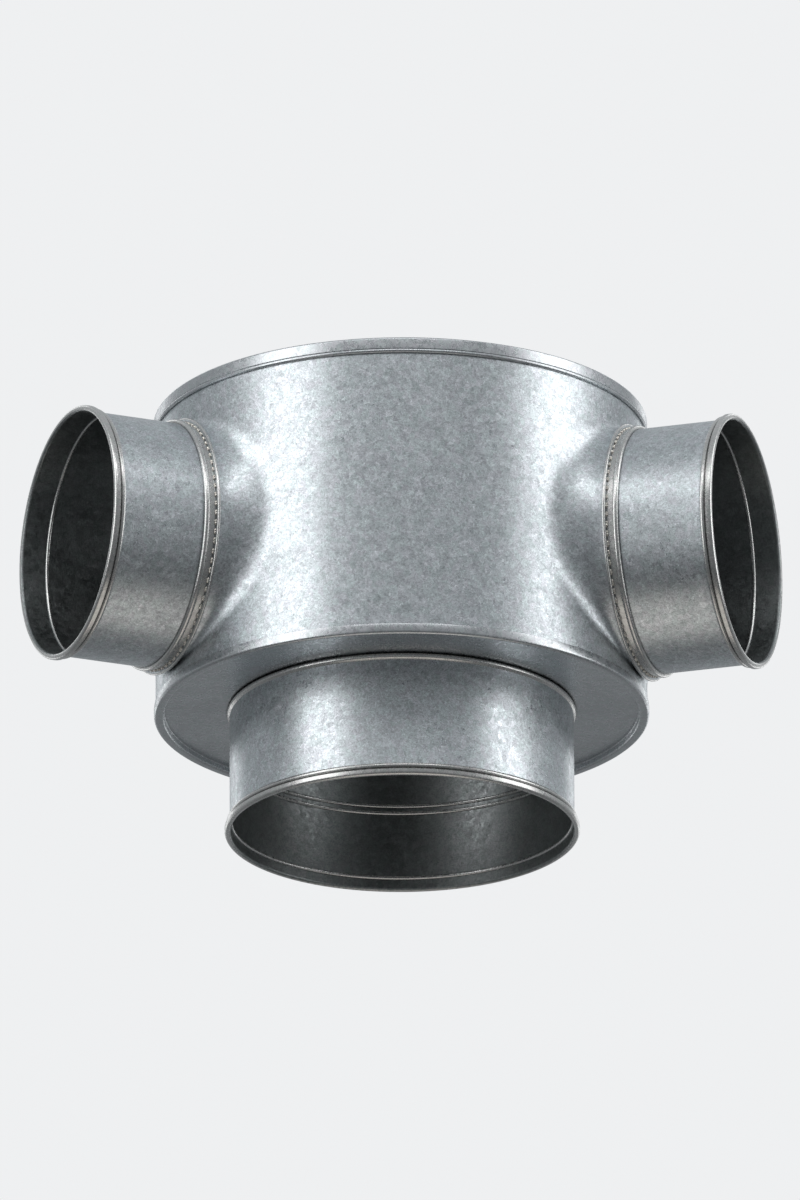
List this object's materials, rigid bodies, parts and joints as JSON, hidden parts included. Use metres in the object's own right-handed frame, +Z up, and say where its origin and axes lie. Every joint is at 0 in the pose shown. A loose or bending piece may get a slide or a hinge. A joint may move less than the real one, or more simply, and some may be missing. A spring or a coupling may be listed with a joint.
{
  "type": "round plenum box",
  "caption": "Round sheet metal plenum box for air ducts: a closed drum with one large socket underneath and two smaller sockets turned out at its sides.",
  "frame": {"origin": "on the drum's axis, in the plane of the bottom socket's mouth, on which the box stands", "axes": "+Z up along the drum's axis, +X to the right-hand socket's side, -Y the front, to which both side sockets are turned by 20 degrees"},
  "size_m": [0.6224, 0.4048, 0.355],
  "materials": {
    "drum_sheet": "hot-dip galvanised sheet with a fine spangle",
    "end_sheet": "galvanised sheet, smoother where it is rolled",
    "tube_sheet": "hot-dip galvanised sheet with a fine spangle",
    "collar_sheet": "galvanised sheet rolled smooth, faint heat tint",
    "weld_metal": "bright stitch weld with brown heat tint"
  },
  "bodies": {
    "root": {"drum_shell": "drum_sheet", "top_cap": "end_sheet", "bottom_plate": "end_sheet", "bottom_spigot": "tube_sheet", "left_spigot": "tube_sheet", "right_spigot": "tube_sheet", "left_collar": "collar_sheet", "right_collar": "collar_sheet", "left_weld": "weld_metal", "right_weld": "weld_metal"}
  },
  "joints": []
}
